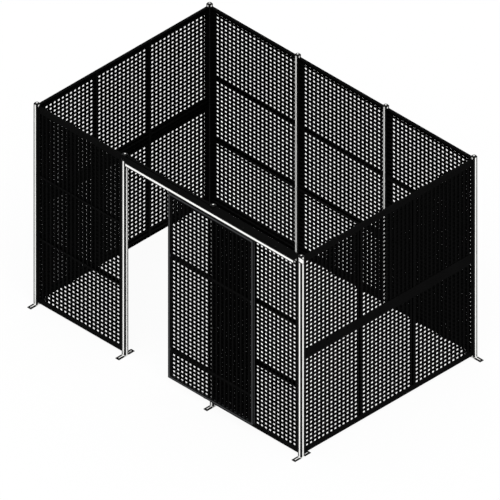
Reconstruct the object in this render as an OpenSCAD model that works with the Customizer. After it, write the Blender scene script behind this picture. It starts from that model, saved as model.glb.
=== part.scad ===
// Free-standing mesh room: eight posts, nine framed mesh panels and a sliding mesh door.
// X runs along the front wall, Y towards the back wall, Z up. The origin is the middle of the
// front left post at floor level. The door hangs from two trolleys in a track outside the front
// wall, and is drawn partly open.

/* [Posts] */
// Width of the square posts
post_w = 50.8; // [44:0.2:64]
// Wall of the square posts
post_wall = 2; // [1.5:0.1:4]
// Outer radius of the corners of the posts
post_corner = 5; // [4.2:0.1:8]
// Height of a post above the top of the panels
post_reveal = 19; // [10:0.5:40]
// Thickness of the edge of a post cap
cap_lip = 4.6; // [2:0.2:8]
// Radius of the domed top of a post cap
cap_dome_r = 60; // [46:1:120]
// Depth that a cap plugs into its post
cap_plug = 14; // [8:1:16]

/* [Base plates] */
// Length of a base plate
plate_l = 228.6; // [196:0.2:300]
// Thickness of a base plate
plate_t = 6.35; // [4:0.05:12]
// Diameter of an anchor hole
anchor_d = 11; // [8:0.5:16]
// Distance between the two anchor holes of a plate
anchor_span = 172; // [110:1:190]

/* [Panels] */
// Width of a front or back panel
panel_w = 1219.2; // [900:0.2:1500]
// Height of a front or back panel, and length of an end panel, which is half as high
panel_h = 2438.4; // [2100:0.2:2900]
// Height of the gap under the panels
panel_z = 40.6; // [20:0.2:90]
// Leg of the angle that frames a panel, and the depth of the door's tube
angle_leg = 31.75; // [30:0.05:38]
// Upright leg of the angles along the bottom and the top of a panel
rail_leg = 63.5; // [32:0.05:76]
// Thickness of the angle
angle_t = 3.2; // [2.5:0.1:5]
// Height of a stiffener, or its width where it stands upright
stiff_w = 25.4; // [20:0.1:40]
// Middle of the lower stiffener of a front or back panel, from the bottom of the panel
stiff_1 = 808; // [700:1:900]
// Middle of the front stiffener of an end panel, from the front edge of the panel
stiff_1_end = 825; // [700:1:900]
// Middle of the upper or rear stiffener, from the same edge
stiff_2 = 1587; // [1500:1:1700]

/* [Mesh] */
// Width of an upright bar
bar_x = 21.5; // [6:0.1:22]
// Height of a level bar
bar_z = 18.5; // [6:0.1:20]
// Depth of the bars
bar_t = 13.5; // [6:0.1:13.8]
// Spacing of the upright bars
pitch_x = 58.6; // [45:0.1:80]
// Spacing of the level bars
pitch_z = 50.7; // [42:0.1:80]
// Middle of the first upright bar of a front panel, from its left edge
front_x = 68.7; // [48:0.1:80]
// Middle of the first upright bar of a back panel, from its left edge
back_x = 56.9; // [48:0.1:80]
// Middle of the first upright bar of a left end panel, from its front edge
left_x = 32.2; // [22:0.1:60]
// Middle of the first upright bar of a right end panel, from its front edge
right_x = 22; // [22:0.1:60]
// Middle of the first upright bar of the door, from its left edge
door_bar_x = 50.6; // [44:0.1:80]
// Middle of the first level bar of a front panel, from its bottom edge
front_z = 34.9; // [32:0.1:80]
// Middle of the first level bar of a back panel, from its bottom edge
back_z = 45.7; // [32:0.1:80]
// Middle of the first level bar of a left end panel, from its bottom edge
left_z = 47; // [32:0.1:80]
// Middle of the first level bar of a right end panel, from its bottom edge
right_z = 36.8; // [32:0.1:80]
// Middle of the first level bar of the door, from its bottom edge
door_bar_z = 70; // [44:0.1:90]

/* [Door] */
// Width that the door covers past each side of the doorway
door_lap = 3.9; // [0:0.1:20]
// Height of the gap under the door
door_z = 116.7; // [90:0.1:160]
// Wall of the door's tube
door_wall = 2; // [1.5:0.1:3]
// Middle of the lower rail, from the bottom of the door
rail_1 = 368.5; // [330:0.5:420]
// Middle of the upper rail, from the bottom of the door
rail_2 = 1536.5; // [1450:0.5:1600]
// How far the door stands open
door_open = 683.4; // [200:0.1:1100]

/* [Track] */
// Distance of the middle of the track and door from the middle of the front wall
track_y = 70.3; // [68:0.1:90]
// Width of the track
track_w = 50; // [48:0.5:56]
// Height of the track
track_h = 48.2; // [46:0.1:60]
// Wall of the track
track_t = 2.4; // [2:0.1:3]
// Width of the slot under the track
slot_w = 18; // [14:0.5:19]
// Distance of the track from the post to the left of the doorway
track_start = 62; // [50:1:70]
// Distance of the end of the track from the middle of the front right post
track_end = 11.6; // [10:0.1:24]
// Height of the upright leg of the header angle
header_leg = 63.5; // [55:0.5:80]
// Thickness of the header angle
header_t = 4.8; // [3:0.1:6]
// Height of the header rail over the doorway
header_rail_h = 50.8; // [40:0.2:80]
// Width of the plate at the end of the header angle
end_plate_w = 82; // [60:1:110]
// Height of the plate at the end of the header angle
end_plate_h = 60; // [50:1:70]

/* [Trolleys] */
// Distance of a trolley from the nearer edge of the door
trolley_in = 170; // [155:1:300]
// Radius of a trolley wheel
wheel_r = 15; // [12:0.1:16]
// Width of a trolley wheel
wheel_w = 10; // [7:0.1:11]
// Distance between the two axles of a trolley
axle_span = 58; // [50:1:90]
// Diameter of an axle
axle_d = 8; // [6:0.1:9]
// Diameter of the bolt that hangs the door
hanger_d = 10; // [8:0.1:11]
// Height between the door and the track
hanger_gap = 16.7; // [15:0.1:30]
// Thickness of the plate on top of the door
hanger_plate_t = 5; // [3:0.1:6]

/* [Floor guide] */
// Play between the guide roller and each side of the door's channel
guide_play = 0.4; // [0.3:0.1:2]
// Height of the guide roller
roller_h = 14; // [10:0.1:18]
// Thickness of the guide bracket
guide_t = 5; // [3:0.1:6]

/* [Fasteners] */
// Diameter of the bolts that hold the panels
bolt_d = 8; // [6:0.1:9]
// Distance across the flats of those bolts and nuts
bolt_flats = 13; // [11:0.1:15]
// Height of their heads
bolt_head = 5.3; // [4:0.1:6]
// Height of their nuts
nut_h = 6.5; // [5:0.1:8]

/* [Hidden] */
$fn = 32;

// Clearances
weld_gap = 0.2;      // between pieces that a weld joins
hole_gap = 0.5;      // round a bolt in its hole
thread_gap = 0.1;    // round a bolt in its nut
run_gap = 0.3;       // between a wheel and what it rolls on
past = 1;            // how far a cut runs past the face that it opens
bolt_end = 2;        // length of a bolt past its nut

// Plan of the room
bays = 3;
bay_x = panel_w + post_w;
room_x = bays * bay_x;
room_y = panel_h + post_w;
end_panel_h = panel_h / 2;
panel_top = panel_z + panel_h;
post_h = panel_top + post_reveal;

// Colours
white_paint = "#f1f1ee";
black_paint = "#17181a";
charcoal_paint = "#303234";
zinc = "#b9bdc1";
nylon = "#dcdad2";
rubber = "#1c1c1c";

// Panels: wall, bay along the wall, and tier above the floor
FRONT_LEFT = ["front", 0, 0];
FRONT_RIGHT = ["front", 2, 0];
BACK_LEFT = ["back", 0, 0];
BACK_MID = ["back", 1, 0];
BACK_RIGHT = ["back", 2, 0];
LEFT_LOWER = ["left", 0, 0];
LEFT_UPPER = ["left", 0, 1];
RIGHT_LOWER = ["right", 0, 0];
RIGHT_UPPER = ["right", 0, 1];
WALL_PANELS = [FRONT_LEFT, FRONT_RIGHT, BACK_LEFT, BACK_MID, BACK_RIGHT];
END_PANELS = [LEFT_LOWER, LEFT_UPPER, RIGHT_LOWER, RIGHT_UPPER];
DOORWAY = ["front", 1, 0];
function is_end(panel) = panel[0] == "left" || panel[0] == "right";
function wide(panel) = is_end(panel) ? panel_h : panel_w;
function high(panel) = is_end(panel) ? end_panel_h : panel_h;

// Mesh: uprights lie against the frame's flange, level bars behind them
function of_wall(panel, front, back, left, right) =
    panel[0] == "front" ? front : panel[0] == "back" ? back : panel[0] == "left" ? left : right;
function first_x(panel) = of_wall(panel, front_x, back_x, left_x, right_x);
function first_z(panel) = of_wall(panel, front_z, back_z, left_z, right_z);
function bars_between(first, pitch, last) = [for (x = [first : pitch : last]) x];
function level_bars(panel) =
    bars_between(first_z(panel), pitch_z, high(panel) - (angle_leg + bar_z) / 2);
function upright_bars(panel) =
    bars_between(first_x(panel), pitch_x, wide(panel) - (angle_leg + bar_x) / 2);

// Bolts through the sides of a panel stand midway between two level bars, at about these shares of
// its height, and those that join two panels midway between two upright bars
function gap_above(first, pitch, size, share) = first + pitch * (round((size - first) / pitch * share) - 0.5);
function side_bolts(panel) = [for (share = is_end(panel) ? [0.15, 0.85] : [0.08, 0.5, 0.92])
    gap_above(first_z(panel), pitch_z, high(panel), share)];
function joint_bolts(panel) = [for (share = [0.15, 0.5, 0.82])
    gap_above(first_x(panel), pitch_x, panel_h, share)];
// Heights of a panel's side bolts above the floor
function bolt_heights(panel) = [for (z = side_bolts(panel)) z + panel_z + panel[2] * end_panel_h];

// Header and track
header_top = post_h;
track_top = header_top - header_t;
track_z = track_top - track_h;
track_in = track_w / 2 - track_t;
track_x = bay_x + post_w / 2 + track_start;
track_l = room_x - track_end - track_x;
header_face = post_w / 2 + header_t;
header_rail_z = panel_top - header_rail_h;
header_rail_rise = header_rail_h + post_reveal;
header_bolt_z = header_top - header_leg + 20;
header_bolt_dx = 12;
track_bolts_x = [for (share = [0.12, 0.31, 0.5, 0.69, 0.88]) track_x + track_l * share];
track_bolt_head = 3;
end_plate_x = track_x + track_l + 2;
end_plate_rise = 9;
end_plate_z = header_top + end_plate_rise - end_plate_h;
end_screw_d = 6;
end_screw_drop = 22;
end_screw_rise = 9;
end_screw_z = [header_top - end_screw_drop, end_plate_z + end_screw_rise];

// Door
door_w = panel_w + 2 * door_lap;
door_top = track_z - hanger_gap;
door_h = door_top - door_z;
door_closed_x = bay_x + post_w / 2 - door_lap;
door_x = door_closed_x + door_open;
trolleys_x = [door_x + trolley_in, door_x + door_w - trolley_in];

// Floor guide, which stays under the door from shut to fully open
roller_r = angle_leg / 2 - door_wall - guide_play;
guide_side = 22;                                  // roller's middle past the post's left face
guide_x = 2 * bay_x - post_w / 2 - guide_side;
guide_rest = 8;                                   // length of door past the roller when fully open
door_travel = guide_x - roller_r - guide_rest - door_closed_x;
guide_top = door_z - 3.5;
guide_leg = 52;
guide_bolt_drop = 32;
guide_pin_d = 8;
roller_z = door_z + 3;

// Trolleys
wheel_z = track_z + track_t + run_gap + wheel_r;
wheel_in = slot_w / 2 + 0.6;
trolley_h = 22;
trolley_w = slot_w - 2;
trolley_l = axle_span + trolley_h;
axle_head = 1.4;
axle_head_d = 12;
axle_l = 2 * (wheel_in + wheel_w + run_gap);
hanger_head = 6.4;
hanger_flats = 17;
hanger_nut_h = 8;
hanger_plate_l = 120;
hanger_screw_dx = 44;
hanger_screw_d = 6;
stop_l = 30;
buffer_l = 12;

// ---- shared forms ------------------------------------------------------------------------------

// A bolt or nut blank: hexagon along Z
module hexagon(flats, h) {
    cylinder(d = flats / cos(30), h = h, $fn = 6);
}

// Hex bolt with its head on z = 0 and its shank going down
module hex_bolt(shank_l) {
    hexagon(bolt_flats, bolt_head);
    translate([0, 0, -shank_l]) cylinder(d = bolt_d, h = shank_l + 0.01);
}

// Nut whose seat is z = 0 and which lies below it
module hex_nut(flats, h, d) {
    translate([0, 0, -h]) difference() {
        hexagon(flats, h);
        translate([0, 0, -past]) cylinder(d = d + 2 * thread_gap, h = h + 2 * past);
    }
}

// Puts what is drawn in a panel's own frame in its place in a wall. There, X runs along the panel,
// Y points into the room with 0 in the middle of the wall, and Z is up from the panel's bottom edge.
module in_wall(panel) {
    z = panel_z + panel[2] * end_panel_h;
    x = panel[1] * bay_x + post_w / 2;
    if (panel[0] == "front") translate([x, 0, z]) children();
    if (panel[0] == "back") translate([x, room_y, z]) mirror([0, 1, 0]) children();
    if (panel[0] == "right") translate([room_x, post_w / 2, z]) rotate([0, 0, 90]) children();
    if (panel[0] == "left") translate([0, post_w / 2, z]) mirror([1, 0, 0]) rotate([0, 0, 90]) children();
}

// Each bolt through a panel's side into a post: its Z axis points away from the post
module at_side_bolts(w, heights) {
    for (z = heights) {
        translate([0, 0, z]) rotate([0, 90, 0]) children();
        translate([w, 0, z]) rotate([0, -90, 0]) children();
    }
}

// ---- posts -------------------------------------------------------------------------------------

// Holes through one wall of a post, on the face that looks along direction, at the given heights
module wall_holes(direction, heights, d = bolt_d, shift = [0]) {
    for (z = heights) for (s = shift) rotate([0, 0, direction]) translate([0, s, z]) rotate([0, 90, 0])
        translate([0, 0, post_w / 2 - post_wall - past]) cylinder(d = d + 2 * hole_gap, h = post_wall + 2 * past);
}

front_bolt_z = bolt_heights(FRONT_LEFT);
back_bolt_z = bolt_heights(BACK_LEFT);
left_bolt_z = concat(bolt_heights(LEFT_LOWER), bolt_heights(LEFT_UPPER));
right_bolt_z = concat(bolt_heights(RIGHT_LOWER), bolt_heights(RIGHT_UPPER));
rail_bolt_z = [header_rail_z + header_rail_h / 2];
guide_bolt_z = [guide_top - guide_bolt_drop];
guide_bolt_dx = [10];

// A square with round corners, about its middle
module round_square(w, r) {
    square([w - 2 * r, w], center = true);
    square([w, w - 2 * r], center = true);
    for (x = [-1, 1]) for (y = [-1, 1]) translate([x * (w / 2 - r), y * (w / 2 - r)]) circle(r);
}

// A hollow square post that stands on its base plate, less the holes that are its children
module post(x, y) {
    color(white_paint) translate([x * bay_x, y * room_y, 0]) difference() {
        translate([0, 0, plate_t]) linear_extrude(post_h - plate_t) difference() {
            round_square(post_w, post_corner);
            round_square(post_w - 2 * post_wall, post_corner - post_wall);
        }
        children();
    }
}

module post_front_left() {
    post(0, 0) {
        wall_holes(0, front_bolt_z);
        wall_holes(90, left_bolt_z);
    }
}

module post_door_left() {
    post(1, 0) {
        wall_holes(180, front_bolt_z);
        wall_holes(0, rail_bolt_z);
        wall_holes(-90, [header_bolt_z], bolt_d, [-header_bolt_dx, header_bolt_dx]);
    }
}

module post_door_right() {
    post(2, 0) {
        wall_holes(180, rail_bolt_z);
        wall_holes(0, front_bolt_z);
        wall_holes(-90, [header_bolt_z], bolt_d, [-header_bolt_dx, header_bolt_dx]);
        wall_holes(-90, guide_bolt_z, bolt_d, [-guide_bolt_dx[0], guide_bolt_dx[0]]);
    }
}

module post_front_right() {
    post(3, 0) {
        wall_holes(180, front_bolt_z);
        wall_holes(90, right_bolt_z);
        wall_holes(-90, end_screw_z, end_screw_d);
    }
}

module post_back_right() {
    post(3, 1) {
        wall_holes(180, back_bolt_z);
        wall_holes(-90, right_bolt_z);
    }
}

module post_back_mid(x) {
    post(x, 1) {
        wall_holes(180, back_bolt_z);
        wall_holes(0, back_bolt_z);
    }
}

module post_back_left() {
    post(0, 1) {
        wall_holes(0, back_bolt_z);
        wall_holes(-90, left_bolt_z);
    }
}

// Domed caps, each with a hollow plug inside the top of its post
module post_caps() {
    corner = sqrt(2) * (post_w / 2 - post_corner) + post_corner;
    cap_rise = cap_lip + cap_dome_r - sqrt(pow(cap_dome_r, 2) - pow(corner, 2));
    plug_w = post_w - 2 * post_wall - 2 * weld_gap;
    plug_corner = post_corner - post_wall - weld_gap;
    plug_wall = 1.8;
    color(white_paint) for (x = [0 : bays]) for (y = [0, 1]) translate([x * bay_x, y * room_y, post_h]) {
        intersection() {
            linear_extrude(cap_rise + past) round_square(post_w, post_corner);
            translate([0, 0, cap_rise - cap_dome_r]) sphere(r = cap_dome_r, $fn = 64);
        }
        translate([0, 0, -cap_plug]) linear_extrude(cap_plug) difference() {
            round_square(plug_w, plug_corner);
            square(plug_w - 2 * plug_wall, center = true);
        }
    }
}

// Base plates lie across the wall, but along it at the two back corners
module base_plates() {
    color(white_paint) for (x = [0 : bays]) for (y = [0, 1]) {
        along = y == 1 && (x == 0 || x == bays);
        translate([x * bay_x, y * room_y, 0]) rotate([0, 0, along ? 0 : 90]) difference() {
            translate([-plate_l / 2, -post_w / 2, 0]) cube([plate_l, post_w, plate_t]);
            for (side = [-1, 1]) translate([side * anchor_span / 2, 0, -past])
                cylinder(d = anchor_d, h = plate_t + 2 * past);
        }
    }
}

// ---- panels ------------------------------------------------------------------------------------

// Angle along X: a flange outside, in the plane of the wall, and a rim that points into the room
module angle_along_x(l) {
    translate([0, -angle_leg / 2, 0]) {
        cube([l, angle_t, rail_leg]);
        cube([l, angle_leg, angle_t]);
    }
}

// Side angle, as high as the panel, with its bolt holes
module side_angle(h, heights) {
    difference() {
        translate([0, -angle_leg / 2, 0]) {
            cube([angle_leg, angle_t, h]);
            cube([angle_t, angle_leg, h]);
        }
        for (z = heights) translate([-past, 0, z]) rotate([0, 90, 0])
            cylinder(d = bolt_d + 2 * hole_gap, h = angle_t + 2 * past);
    }
}

// Bottom angle, coped round the flanges of the two side angles
module bottom_angle(w, holes) {
    end = angle_t + weld_gap;
    cope = angle_leg + weld_gap;
    difference() {
        translate([end, 0, 0]) angle_along_x(w - 2 * end);
        for (x = [-past, w - cope]) translate([x, -angle_leg / 2 - past, -past])
            cube([cope + past, angle_t + weld_gap + past, rail_leg + 2 * past]);
        for (x = holes) translate([x, 0, -past]) cylinder(d = bolt_d + 2 * hole_gap, h = angle_t + 2 * past);
    }
}

// Flat stiffeners between the flanges, level on a front or back panel and upright on an end panel
module stiffeners(w, h, upright) {
    from_side = angle_leg + weld_gap;
    from_end = rail_leg + weld_gap;
    if (upright)
        for (x = [stiff_1_end, stiff_2])
            translate([x - stiff_w / 2, -angle_leg / 2, from_end]) cube([stiff_w, angle_t, h - 2 * from_end]);
    else
        for (z = [stiff_1, stiff_2])
            translate([from_side, -angle_leg / 2, z - stiff_w / 2]) cube([w - 2 * from_side, angle_t, stiff_w]);
}

module panel_frame(panel) {
    w = wide(panel);
    h = high(panel);
    bottom_holes = is_end(panel) && panel[2] == 1 ? joint_bolts(panel) : [];
    top_holes = is_end(panel) && panel[2] == 0 ? joint_bolts(panel) : [];
    color(black_paint) in_wall(panel) {
        side_angle(h, side_bolts(panel));
        translate([w, 0, 0]) mirror([1, 0, 0]) side_angle(h, side_bolts(panel));
        bottom_angle(w, bottom_holes);
        translate([0, 0, h]) mirror([0, 0, 1]) bottom_angle(w, top_holes);
        stiffeners(w, h, is_end(panel));
    }
}

// Mesh of square-edged bars, welded to the back of the frame's flanges
module panel_mesh(panel) {
    w = wide(panel);
    h = high(panel);
    front = -angle_leg / 2 + angle_t;
    color(black_paint) in_wall(panel) {
        for (x = upright_bars(panel))
            translate([x - bar_x / 2, front, angle_t]) cube([bar_x, bar_t, h - 2 * angle_t]);
        for (z = level_bars(panel))
            translate([angle_t, front + bar_t + weld_gap, z - bar_z / 2])
                cube([w - 2 * angle_t, bar_t, bar_z]);
    }
}

// ---- fasteners of the panels -------------------------------------------------------------------

post_grip = post_wall + nut_h + bolt_end;

// Bolts through the sides of the panels and of the header rail into the posts, and those that join
// the lower to the upper panel of each end wall
module panel_bolts() {
    color(zinc) {
        for (p = concat(WALL_PANELS, END_PANELS)) in_wall(p) at_side_bolts(wide(p), side_bolts(p))
            translate([0, 0, angle_t]) hex_bolt(angle_t + post_grip);
        in_wall(DOORWAY) at_side_bolts(panel_w, [rail_bolt_z[0] - panel_z])
            translate([0, 0, angle_t]) hex_bolt(angle_t + post_grip);
        for (p = [LEFT_UPPER, RIGHT_UPPER]) in_wall(p) for (x = joint_bolts(p))
            translate([x, 0, angle_t]) hex_bolt(2 * angle_t + nut_h + bolt_end);
    }
}

// Places on the outside face of the front posts: [x, height, bolt diameter]
face_bolts = concat(
    [for (x = [1, 2]) for (s = [-1, 1]) [x * bay_x + s * header_bolt_dx, header_bolt_z]],
    [for (s = [-1, 1]) [2 * bay_x + s * guide_bolt_dx[0], guide_bolt_z[0]]]);

// Nuts welded inside the posts
module post_nuts() {
    color(zinc) {
        for (p = concat(WALL_PANELS, END_PANELS)) in_wall(p) at_side_bolts(wide(p), side_bolts(p))
            translate([0, 0, -post_wall]) hex_nut(bolt_flats, nut_h, bolt_d);
        in_wall(DOORWAY) at_side_bolts(panel_w, [rail_bolt_z[0] - panel_z])
            translate([0, 0, -post_wall]) hex_nut(bolt_flats, nut_h, bolt_d);
        for (b = face_bolts) translate([b[0], -post_w / 2 + post_wall, b[1]]) rotate([90, 0, 0])
            hex_nut(bolt_flats, nut_h, bolt_d);
    }
}

module joint_nuts() {
    color(zinc) for (p = [LEFT_UPPER, RIGHT_UPPER]) in_wall(p) for (x = joint_bolts(p))
        translate([x, 0, -angle_t]) hex_nut(bolt_flats, nut_h, bolt_d);
}

// ---- header and track --------------------------------------------------------------------------

// Pan-shaped rail over the doorway, open towards the room, in line with the panel frames
module header_rail() {
    color(black_paint) translate([bay_x + post_w / 2, -angle_leg / 2, header_rail_z]) difference() {
        cube([panel_w, angle_leg, header_rail_rise]);
        translate([angle_t, angle_t, angle_t])
            cube([panel_w - 2 * angle_t, angle_leg, header_rail_rise - 2 * angle_t]);
        for (x = [0, panel_w - angle_t]) translate([x - past, angle_leg / 2, header_rail_h / 2]) rotate([0, 90, 0])
            cylinder(d = bolt_d + 2 * hole_gap, h = angle_t + 2 * past);
    }
}

// Channel on top of the front right panel, which holds the header angle between its posts
module top_rail() {
    depth = (post_w + angle_leg) / 2;
    color(black_paint) translate([2 * bay_x + post_w / 2, -post_w / 2, panel_top]) difference() {
        cube([panel_w, depth, post_reveal]);
        translate([-past, angle_t, -past])
            cube([panel_w + 2 * past, depth - 2 * angle_t, post_reveal - angle_t + past]);
    }
}

// Header angle: its upright leg crosses the three posts, its level leg covers the track
module header_angle() {
    leg_x = bay_x - post_w / 2;
    leg_l = room_x + post_w / 2 - leg_x;
    shelf_l = track_y + track_w / 2 - post_w / 2;
    color(black_paint) difference() {
        union() {
            translate([leg_x, -header_face, header_top - header_leg]) cube([leg_l, header_t, header_leg]);
            translate([track_x, -post_w / 2 - shelf_l, header_top - header_t]) cube([track_l, shelf_l, header_t]);
        }
        for (x = [1, 2]) for (s = [-1, 1])
            translate([x * bay_x + s * header_bolt_dx, -post_w / 2 + past, header_bolt_z]) rotate([90, 0, 0])
                cylinder(d = bolt_d + 2 * hole_gap, h = header_t + 2 * past);
        for (z = end_screw_z) translate([room_x, -post_w / 2 + past, z]) rotate([90, 0, 0])
            cylinder(d = end_screw_d + 2 * hole_gap, h = header_t + 2 * past);
        for (x = track_bolts_x) translate([x, -track_y, header_top - header_t - past])
            cylinder(d = bolt_d + 2 * hole_gap, h = header_t + 2 * past);
    }
}

module header_bolts() {
    color(zinc) for (x = [1, 2]) for (s = [-1, 1])
        translate([x * bay_x + s * header_bolt_dx, -header_face, header_bolt_z]) rotate([90, 0, 0])
            hex_bolt(header_t + post_grip);
}

// Plate over the end of the header angle, at the front right post
module header_end_plate() {
    color(white_paint) difference() {
        translate([end_plate_x, -header_face - header_t, end_plate_z])
            cube([end_plate_w, header_t, end_plate_h]);
        for (z = end_screw_z) translate([room_x, -header_face + past, z]) rotate([90, 0, 0]) {
            cylinder(d = end_screw_d + 2 * hole_gap, h = header_t + 2 * past);
            translate([0, 0, past + header_t - end_screw_d / 2])
                cylinder(d1 = end_screw_d + 2 * hole_gap, d2 = 2 * end_screw_d + 2 * hole_gap, h = end_screw_d / 2 + 0.01);
        }
    }
}

module end_plate_screws() {
    color(zinc) for (z = end_screw_z)
        translate([room_x, -header_face - header_t, z]) rotate([-90, 0, 0]) {
            cylinder(d1 = 2 * end_screw_d, d2 = end_screw_d, h = end_screw_d / 2);
            cylinder(d = end_screw_d, h = 2 * header_t + post_wall + 6);
        }
}

// Box track, open along the middle of its underside
module track_profile() {
    difference() {
        translate([-track_w / 2, 0]) square([track_w, track_h]);
        translate([-track_in, track_t]) square([2 * track_in, track_h - 2 * track_t]);
        translate([-slot_w / 2, -past]) square([slot_w, track_t + 2 * past]);
    }
}

module track() {
    color(white_paint) difference() {
        translate([track_x, -track_y, track_z]) rotate([90, 0, 90]) linear_extrude(track_l) track_profile();
        for (x = concat(track_bolts_x, stops_x)) translate([x, -track_y, track_top - track_t - past])
            cylinder(d = bolt_d + 2 * hole_gap, h = track_t + 2 * past);
    }
}

// Bolts up through the track and the header angle, with flat heads inside the track
module track_bolts() {
    color(zinc) for (x = track_bolts_x) translate([x, -track_y, track_top - track_t]) {
        translate([0, 0, -track_bolt_head]) cylinder(d = 2 * bolt_d, h = track_bolt_head);
        cylinder(d = bolt_d, h = track_t + header_t + nut_h + 2);
    }
}

module track_nuts() {
    color(zinc) for (x = track_bolts_x) translate([x, -track_y, header_top + nut_h])
        hex_nut(bolt_flats, nut_h, bolt_d);
}

// Stops inside the track, where the trolleys meet them with the door shut and fully open
stop_gap = 0.5;
stop_faces = [door_closed_x + trolley_in - trolley_l / 2 - stop_gap,
    door_closed_x + door_travel + door_w - trolley_in + trolley_l / 2 + stop_gap];
stops_x = [stop_faces[0] - buffer_l - stop_l / 2, stop_faces[1] + buffer_l + stop_l / 2];

module track_stops() {
    stop_w = 2 * track_in - 2 * weld_gap;
    stop_h = track_h - 2 * track_t - weld_gap;
    color(zinc) for (x = stops_x) translate([x, -track_y, track_z + track_t]) {
        translate([-stop_l / 2, -stop_w / 2, 0]) cube([stop_l, stop_w, stop_h]);
        cylinder(d = bolt_d, h = stop_h + weld_gap + track_t);
    }
}

module stop_buffers() {
    buffer_w = 14;
    color(rubber) for (i = [0, 1])
        translate([stop_faces[i] - (i == 0 ? buffer_l : 0), -track_y - buffer_w / 2, wheel_z - buffer_w / 2])
            cube([buffer_l, buffer_w, buffer_w]);
}

// ---- door --------------------------------------------------------------------------------------

// Puts what is drawn in the door's own frame in its place: X from its left edge, Y from the middle
// of its thickness, Z from its bottom
module on_door() {
    translate([door_x, -track_y, door_z]) children();
}

module square_tube(l) {
    difference() {
        translate([0, -angle_leg / 2, 0]) cube([l, angle_leg, angle_leg]);
        translate([-past, -angle_leg / 2 + door_wall, door_wall])
            cube([l + 2 * past, angle_leg - 2 * door_wall, angle_leg - 2 * door_wall]);
    }
}

// Two stiles and the top rail of square tube
module door_frame() {
    side = angle_leg + weld_gap;
    color(charcoal_paint) on_door() {
        for (x = [0, door_w - angle_leg]) translate([x + angle_leg, 0, angle_leg]) rotate([0, -90, 0])
            square_tube(door_h - angle_leg);
        difference() {
            translate([side, 0, door_h - angle_leg]) square_tube(door_w - 2 * side);
            for (x = [trolley_in, door_w - trolley_in]) {
                translate([x, 0, door_h - door_wall - past]) cylinder(d = hanger_d + 2 * hole_gap, h = door_wall + 2 * past);
                for (s = [-1, 1]) translate([x + s * hanger_screw_dx, 0, door_h - door_wall - past])
                    cylinder(d = hanger_screw_d + 2 * thread_gap, h = door_wall + 2 * past);
            }
        }
    }
}

module door_mid_rails() {
    color(black_paint) on_door() for (z = [rail_1, rail_2])
        translate([angle_leg, 0, z - angle_leg / 2]) square_tube(door_w - 2 * angle_leg);
}

// Channel under the stiles, open below, which runs over the floor guide's roller
module door_bottom_channel() {
    color(charcoal_paint) on_door() difference() {
        translate([0, -angle_leg / 2, 0]) cube([door_w, angle_leg, angle_leg]);
        translate([-past, -angle_leg / 2 + door_wall, -past])
            cube([door_w + 2 * past, angle_leg - 2 * door_wall, angle_leg - door_wall + past]);
    }
}

// Mesh in the three fields between the door's rails
module door_mesh() {
    rails = [angle_leg / 2, rail_1, rail_2, door_h - angle_leg / 2];
    color(black_paint) on_door() for (i = [0 : len(rails) - 2]) {
        low = rails[i] + angle_leg / 2;
        high = rails[i + 1] - angle_leg / 2;
        for (x = bars_between(door_bar_x, pitch_x, door_w - angle_leg - bar_x / 2 - weld_gap))
            translate([x - bar_x / 2, -weld_gap / 2 - bar_t, low]) cube([bar_x, bar_t, high - low]);
        for (z = bars_between(door_bar_z, pitch_z, door_h)) if (z - bar_z / 2 > low && z + bar_z / 2 < high)
            translate([angle_leg, weld_gap / 2, z - bar_z / 2]) cube([door_w - 2 * angle_leg, bar_t, bar_z]);
    }
}

// ---- trolleys ----------------------------------------------------------------------------------

module hanger_plates() {
    color(zinc) for (x = trolleys_x) translate([x, -track_y, door_top]) difference() {
        translate([-hanger_plate_l / 2, -angle_leg / 2, 0]) cube([hanger_plate_l, angle_leg, hanger_plate_t]);
        translate([0, 0, -past]) cylinder(d = hanger_d + 2 * thread_gap, h = hanger_plate_t + 2 * past);
        for (s = [-1, 1]) translate([s * hanger_screw_dx, 0, -past])
            cylinder(d = hanger_screw_d + 2 * hole_gap, h = hanger_plate_t + 2 * past);
    }
}

module hanger_screws() {
    color(zinc) for (x = trolleys_x) for (s = [-1, 1])
        translate([x + s * hanger_screw_dx, -track_y, door_top + hanger_plate_t]) {
            cylinder(d = 2 * hanger_screw_d, h = hanger_screw_d / 2);
            translate([0, 0, -hanger_plate_t - 12]) cylinder(d = hanger_screw_d, h = hanger_plate_t + 12.01);
        }
}

// Bolts that hang the door, with their heads on the trolleys
module hanger_bolts() {
    head_z = wheel_z + trolley_h / 2;
    foot_z = door_top - 15;
    color(zinc) for (x = trolleys_x) translate([x, -track_y, 0]) {
        translate([0, 0, head_z]) hexagon(hanger_flats, hanger_head);
        translate([0, 0, foot_z]) cylinder(d = hanger_d, h = head_z - foot_z + 0.01);
    }
}

module hanger_nuts() {
    color(zinc) for (x = trolleys_x) translate([x, -track_y, door_top + hanger_plate_t + hanger_nut_h])
        hex_nut(hanger_flats, hanger_nut_h, hanger_d);
}

module trolley_bodies() {
    color(zinc) for (x = trolleys_x) translate([x, -track_y, wheel_z]) difference() {
        union() {
            translate([-axle_span / 2, -trolley_w / 2, -trolley_h / 2]) cube([axle_span, trolley_w, trolley_h]);
            for (s = [-1, 1]) translate([s * axle_span / 2, trolley_w / 2, 0]) rotate([90, 0, 0])
                cylinder(d = trolley_h, h = trolley_w);
        }
        for (s = [-1, 1]) translate([s * axle_span / 2, trolley_w / 2 + past, 0]) rotate([90, 0, 0])
            cylinder(d = axle_d + 2 * thread_gap, h = trolley_w + 2 * past);
        translate([0, 0, -trolley_h / 2 - past]) cylinder(d = hanger_d + 2 * thread_gap, h = trolley_h + 2 * past);
    }
}

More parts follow.
